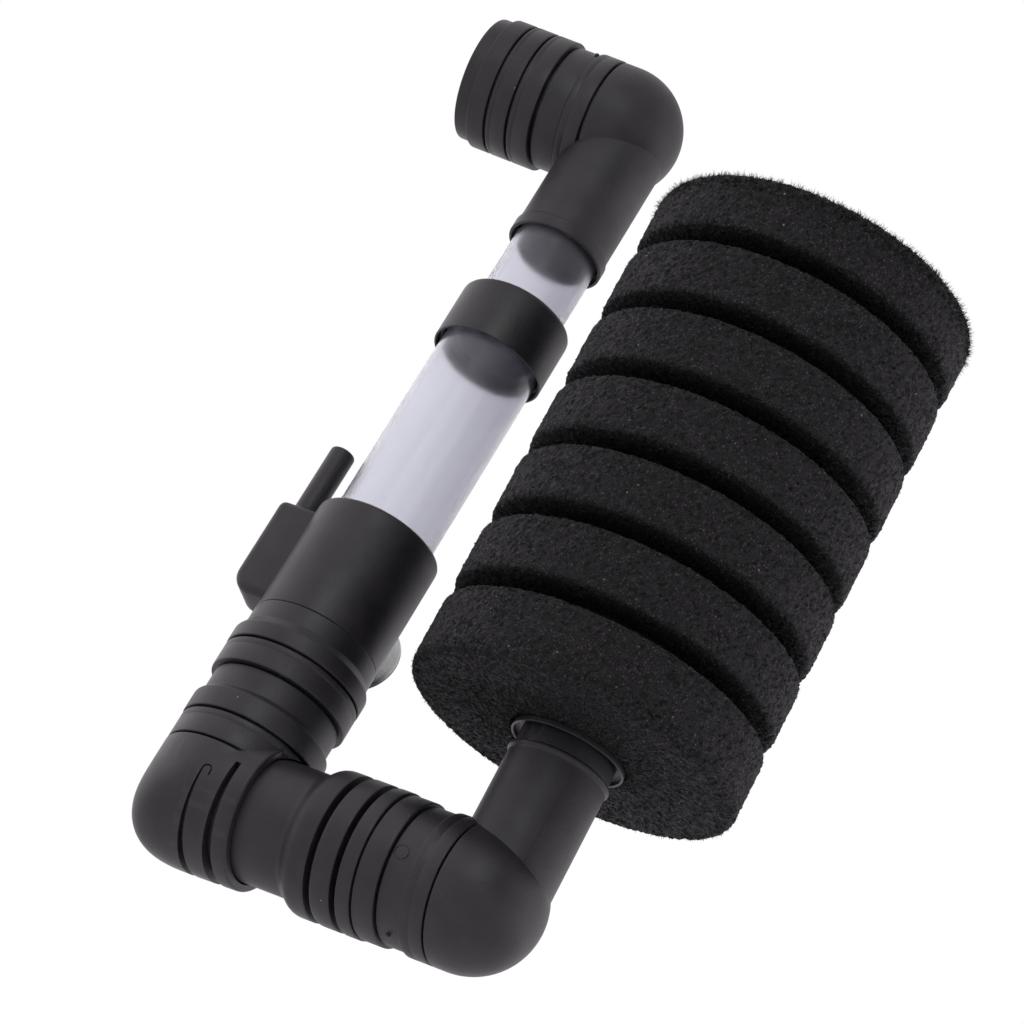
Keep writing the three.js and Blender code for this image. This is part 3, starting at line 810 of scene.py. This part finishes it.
def swivel_coupler():
    start, end = 28.1, 32.35
    spigot, reach = 11, 10.5
    coupler = turned("coupler_band", [
        (LINK_BORE, start - reach),
        (spigot, start - reach, 0.3),
        (spigot, start),
        (LINK_RADIUS, start, 0.7),
        (LINK_RADIUS, end, BAND_EDGE),
        (spigot, end),
        (spigot, end + reach, 0.3),
        (LINK_BORE, end + reach),
    ], along_x=True)
    return finished(coupler, PIPES, "lower_arm", "black_plastic", PLASTIC, "swivel_coupler")


def sponge_elbow():
    radius, centre = SPONGE_DOME["radius"], SPONGE_DOME["centre"]
    start = 33.5
    bands = [
        (start, 36.45, LINK_RADIUS),
        (36.75, 41.15, 13.5),
        (41.45, 46.2, 12.9),
        (46.25, 50.98, 13.4),
        (51.35, centre - 0.1, radius),
    ]
    pipe = turned("sponge_elbow_pipe", [
        (0, start), *banded(bands, (48.2,)), *dome(radius, centre, 1),
    ], along_x=True)
    leg_radius, top, lip = LEG["radius"], LEG["top"], LEG["lip"]
    leg = moved(turned("sponge_leg", [
        (0, 0),
        (leg_radius, 0),
        (leg_radius, top - 1.1, 0.4),
        (lip, top - 0.6, 0.2),
        (lip, top, 0.2),
        (0, top),
    ]), x=SPONGE_AXIS)
    bore, socket, seat = 10.4, 11.35, 44.6
    hollow = turned("hollow", [
        (0, 32), (socket, 32), (socket, seat), (bore, seat), *dome(bore, centre, 1),
    ], along_x=True)
    leg_socket, leg_seat = 8.4, 16
    leg_bore = moved(turned("leg_bore", [
        (0, 0),
        (CORE_BORE, 0),
        (CORE_BORE, leg_seat),
        (leg_socket, leg_seat),
        (leg_socket, 40),
        (0, 40),
    ]), x=SPONGE_AXIS)
    circle = turned("mould_mark", [(1.2, 12.75), (1.42, 12.75), (1.42, 14), (1.2, 14)], 48)
    mark = moved(facing(circle, -3), x=43.2)
    pip = moved(facing(pip_of(12.9), -74.5), x=43.9)
    elbow = combined(pipe, "UNION", leg, pip)
    elbow = combined(elbow, "DIFFERENCE", hollow, leg_bore, mark)
    return finished(elbow, ARM, "sponge_arm", "black_plastic", PLASTIC, "sponge_elbow")


def sponge_neck():
    start, end, ring = 16.3, 40, 9.2
    neck = moved(turned("strainer_neck", [
        (CORE_BORE, start),
        (CORE_RADIUS, start),
        (CORE_RADIUS, 28.4),
        (ring, 28.4, 0.2),
        (ring, 31.9, 0.2),
        (CORE_RADIUS, 31.9),
        (CORE_RADIUS, end),
        (CORE_BORE, end),
    ]), x=SPONGE_AXIS)
    finished(neck, ARM, "sponge_arm", "black_plastic", GLOSSIER)
    radius, skirt, hole = FLANGE["radius"], FLANGE["skirt"], 8.4
    dish = moved(turned("sponge_dish", [
        (hole, 32.2),
        (radius - skirt, 32.2, 0.3),
        (radius - skirt, FLANGE["bottom"], 0.2),
        (radius, FLANGE["bottom"], 0.2),
        (radius, FLANGE["top"], 0.4),
        (hole, FLANGE["top"]),
    ]), x=SPONGE_AXIS)
    finished(dish, ARM, "sponge_arm", "black_plastic", GLOSSIER, "sponge_flange")


# ---------- foam cartridge ----------
def disc_ends():
    """Heights of the upper faces of the discs, except the last one."""
    return [DISC["first_end"] + disc * DISC["pitch"] for disc in range(DISC["count"] - 1)]


def foam_outline():
    """Outline of the cartridge from the bore at its foot to the middle of its top. The dish is pressed
    a little into its foot."""
    low, top, radius, bore, floor = FOAM["bottom"], FOAM["top"], FOAM["radius"], FOAM["bore"], DISC["floor"]
    seat = FLANGE["radius"] + 0.1
    outline = [(bore, low + 4), (bore, low + 0.4), (seat, low + 0.4), (seat + 0.4, low - 0.6)]
    outline += [(seat + 7, low), (radius, low, 1.7)]
    for end in disc_ends():
        start = end + DISC["groove"]
        outline += [(radius, end, 0.7), (floor, end, 0.5), (floor, start, 0.5), (radius, start, 1.2)]
    return outline + [(radius, top, TOP_ROUNDING), (0.4, top)]


def resampled(points, step):
    """The outline with points about a step apart along its straight stretches."""
    result = [points[0]]
    for start, end in zip(points, points[1:]):
        count = max(1, round((end - start).length / step))
        result += [start.lerp(end, k / count) for k in range(1, count + 1)]
    return result


def foam_piece(name, points, faces):
    """A foam mesh from points in millimetres about the sponge's axis."""
    mesh = bpy.data.meshes.new(name)
    mesh.from_pydata(points.tolist(), [], faces)
    mesh.polygons.foreach_set("use_smooth", [True] * len(mesh.polygons))
    mesh.materials.append(FOAM_BLACK)
    piece = bpy.data.objects.new(name, mesh)
    bpy.context.scene.collection.objects.link(piece)
    moved(piece, x=SPONGE_AXIS + FOAM_SHIFT)
    mesh.transform(ARM)
    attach(piece, "sponge_arm")
    return piece


def normals_of(profile):
    """Directions along the profile and out of it, at each of its points."""
    tangent = np.gradient(profile, axis=0)
    tangent /= np.linalg.norm(tangent, axis=1)[:, None]
    return tangent, np.stack([tangent[:, 1], -tangent[:, 0]], 1)


def roughened(outline, around, rng, spread, torn, share):
    """Rings of points along the outline, each pushed in or out and sideways, some of them torn in.
    The bore stays smooth, and the top gets calmer towards its middle, where the points crowd."""
    bore_height = 6
    profile = np.array([tuple(p) for p in outline])
    rows = len(profile)
    tangent, outward = normals_of(profile)
    in_bore = profile[:, 1] < FOAM["bottom"] + bore_height
    smooth_bore = np.clip((profile[:, 0] - FOAM["bore"]) / 2, 0, 1)
    calm_middle = np.clip(profile[:, 0] / 14, 0.15, 1)
    fade = np.where(in_bore, smooth_bore, calm_middle)[:, None]
    pushed = (rng.normal(0, spread, (rows, around)) - torn * (rng.random((rows, around)) < share)) * fade
    slid = rng.normal(0, spread, (rows, around)) * fade
    radius = profile[:, :1] + outward[:, :1] * pushed + tangent[:, :1] * slid
    height = profile[:, 1:] + outward[:, 1:] * pushed + tangent[:, 1:] * slid
    angles = np.linspace(0, 2 * math.pi, around, endpoint=False)
    turn = angles[None, :] + rng.normal(0, spread, (rows, around)) * fade / np.maximum(profile[:, :1], 2)
    return np.stack([radius * np.cos(turn), radius * np.sin(turn), height], 2)


def foam_cartridge():
    """The body of the cartridge, uneven all over, with a share of its points torn in."""
    step = 0.46
    rng = np.random.default_rng(11)
    outline = resampled(softened(foam_outline(), False), step)
    around = round(2 * math.pi * FOAM["radius"] / step)
    rows = roughened(outline, around, rng, spread=0.09, torn=0.35, share=0.15)
    count = rows.shape[0]
    first = np.arange(count - 1)[:, None] * around
    here = np.arange(around)[None, :]
    following = (here + 1) % around
    sides = [first + here, first + following, first + around + following, first + around + here]
    caps = [list(range((count - 1) * around, count * around)), list(range(around))[::-1]]
    faces = np.stack(sides, 2).reshape(-1, 4).tolist() + caps
    foam = foam_piece("foam_cartridge", rows.reshape(-1, 3), faces)
    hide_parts("sponge")


def torn_struts(name, outline, count, length, rng):
    """Thin pointed struts that lean every way out of the foam along an outline."""
    root_depth, thickness, lean = 0.35, 0.09, 1.3
    profile = np.array([tuple(p) for p in outline])
    outward = normals_of(profile)[1]
    pick = rng.integers(0, len(profile), count)
    turn = rng.uniform(0, 2 * math.pi, count)
    away = outward[pick]
    root = profile[pick] - root_depth * away
    direction = np.stack([away[:, 0], np.zeros(count), away[:, 1]], 1) + rng.normal(0, lean, (count, 3))
    direction /= np.linalg.norm(direction, axis=1)[:, None]
    side = np.cross(direction, rng.normal(0, 1, (count, 3)))
    side /= np.linalg.norm(side, axis=1)[:, None]
    other = np.cross(direction, side)
    reach = root_depth + length * rng.random(count)
    start = np.stack([root[:, 0], np.zeros(count), root[:, 1]], 1)
    corners = [start + direction * reach[:, None]]
    for k in range(3):
        angle = 2 * math.pi * k / 3
        corners.append(start + thickness * (math.cos(angle) * side + math.sin(angle) * other))
    points = np.stack(corners, 1)
    across, cosine, sine = points[:, :, 1].copy(), np.cos(turn)[:, None], np.sin(turn)[:, None]
    radial = points[:, :, 0].copy()
    points[:, :, 0] = radial * cosine - across * sine
    points[:, :, 1] = radial * sine + across * cosine
    pattern = np.array([[1, 2, 0], [2, 3, 0], [3, 1, 0], [3, 2, 1]])
    faces = (np.arange(count)[:, None, None] * 4 + pattern[None]).reshape(-1, 3)
    foam_piece(name, points.reshape(-1, 3), faces.tolist())


def foam_struts():
    """Torn struts over the rims of the discs: they are longest on the worn top rim. Each rim has its
    height, the way it faces, its rounding, and the count and length of its struts."""
    radius, low, top = FOAM["radius"], FOAM["bottom"], FOAM["top"]
    rng = np.random.default_rng(5)
    rims = [("foot", low, -1, 1.7, 6000, 0.7), ("top", top, 1, TOP_ROUNDING, 14000, 1.5)]
    rims += [(f"disc_{number}", end, 1, 0.7, 3000, 0.5) for number, end in enumerate(disc_ends())]
    for name, height, way, rounding, count, length in rims:
        reach = 2.2 * rounding  # long enough for softened() to give the corner its whole rounding
        corner = [(radius, height - way * reach), (radius, height, rounding), (radius - reach, height)]
        outline = resampled(softened(corner[::way], False), 0.2)
        rim = Vector((radius, height))
        outline = [point for point in outline if (point - rim).length < 1.1 * rounding + 0.5]
        torn_struts(f"foam_struts_{name}", outline, count, length, rng)


# ---------- CAD nodes that stay ----------
def finish_inner_nodes():
    """The pieces inside the pipes keep their CAD shape and get a finish."""
    finishes = {
        "bubble_ring": PLASTIC,
        "strainer_core": PLASTIC,
        "core_end_cap": PLASTIC,
        "collar_grip_ring": RUBBER,
        "elbow_seal_ring": RUBBER,
        "coupler_seal_ring": RUBBER,
    }
    for name, material in finishes.items():
        node = frame["nodes"][name]
        for slot in node.material_slots:
            slot.material = material


# ---------- camera, lights and floor ----------
def camera():
    azimuth, elevation, roll = (math.radians(a) for a in (27.23, -25.87, 31.04))
    distance = 0.75245
    target = Vector((0.02116, -0.01797, 0.02961))
    back = Vector((
        math.sin(azimuth) * math.cos(elevation),
        -math.cos(azimuth) * math.cos(elevation),
        math.sin(elevation),
    ))
    level = (-back).cross(Vector((0, 0, 1))).normalized()
    upward = level.cross(-back)
    right = math.cos(roll) * level + math.sin(roll) * upward
    top = -math.sin(roll) * level + math.cos(roll) * upward
    data = bpy.data.cameras.new("camera")
    data.sensor_width = 36
    data.lens = 142.67
    view = bpy.data.objects.new("camera", data)
    bpy.context.scene.collection.objects.link(view)
    axes = Matrix((right, top, back)).transposed()
    view.matrix_world = Matrix.Translation(target + back * distance) @ axes.to_4x4()
    bpy.context.scene.camera = view
    return target, right, top, back


def softbox(name, place, target, size, power):
    data = bpy.data.lights.new(name, "AREA")
    data.shape = "RECTANGLE"
    data.size, data.size_y = size
    data.energy = power
    light = bpy.data.objects.new(name, data)
    light.location = place
    light.rotation_euler = (target - place).to_track_quat("-Z", "Y").to_euler()
    bpy.context.scene.collection.objects.link(light)


def world(right, top, back):
    """White around the object. As a source of light it is a pale surround, dim in front and brighter
    from the left and the lower right."""
    surround = bpy.data.worlds.new("studio")
    surround.use_nodes = True
    nodes, links = surround.node_tree.nodes, surround.node_tree.links
    nodes.clear()
    path = nodes.new("ShaderNodeLightPath")
    rays = (path.outputs["Is Camera Ray"], path.outputs["Is Transmission Ray"])
    straight = added(nodes, links, *rays, "MAXIMUM")
    seen = nodes.new("ShaderNodeBackground")
    seen.inputs["Color"].default_value = (1, 1, 1, 1)
    lighting = nodes.new("ShaderNodeBackground")
    lighting.inputs["Color"].default_value = (1, 0.955, 1.02, 1)
    direction = nodes.new("ShaderNodeTexCoord").outputs["Generated"]

    def towards(axis):
        dot = nodes.new("ShaderNodeVectorMath")
        dot.operation = "DOT_PRODUCT"
        dot.inputs[1].default_value = axis
        links.new(direction, dot.inputs[0])
        return dot.outputs["Value"]

    pale = ranged(nodes, links, towards(back), 0.25, 0.7, SURROUND, FRONT)
    left = (-0.9 * right - 0.35 * top - 0.1 * back).normalized()
    slanted = ranged(nodes, links, towards(left), -1, 1, 1 - SLANT, 1 + SLANT)
    lower_right = (0.75 * right - 0.6 * top + 0.25 * back).normalized()
    glow = ranged(nodes, links, towards(lower_right), 0.35, 0.95, 0, LOWER_RIGHT)
    around = added(nodes, links, pale, slanted, "MULTIPLY")
    links.new(added(nodes, links, around, glow), lighting.inputs["Strength"])
    mix = nodes.new("ShaderNodeMixShader")
    links.new(straight, mix.inputs["Fac"])
    links.new(lighting.outputs["Background"], mix.inputs[1])
    links.new(seen.outputs["Background"], mix.inputs[2])
    output = nodes.new("ShaderNodeOutputWorld")
    links.new(mix.outputs["Shader"], output.inputs["Surface"])
    bpy.context.scene.world = surround


def floor():
    """A wide pale floor, far enough below for the sponge arm to swing down."""
    size, depth = 6, 0.62
    bm = bmesh.new()
    bmesh.ops.create_grid(bm, x_segments=8, y_segments=8, size=size)
    piece = mesh_object("floor", bm)
    piece.location = (0, 0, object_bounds()[0].z - depth)
    material, nodes, links, shader, place = new_material("pale_floor")
    grain = noise(nodes, links, place, 12, 2)
    shade = blended(nodes, links, grain, (0.8, 0.8, 0.8), (0.84, 0.84, 0.84))
    links.new(shade, shader.inputs["Base Color"])
    shader.inputs["Roughness"].default_value = 0.8
    piece.data.materials.append(material)
    piece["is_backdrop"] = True


def studio():
    target, right, top, back = camera()
    bpy.context.scene.view_settings.view_transform = "Standard"
    key_place = target + 0.6 * back + 0.05 * right + 0.62 * top
    softbox("key", key_place, target, (0.4, 0.4), KEY_POWER)
    world(right, top, back)
    floor()


studio()
lift_barrel()
air_nozzle()
suction_cup()
lift_tubes()
slide_collar()
outlet_elbow()
lower_elbow()
link_tube()
swivel_coupler()
sponge_elbow()
sponge_neck()
foam_cartridge()
foam_struts()
finish_inner_nodes()
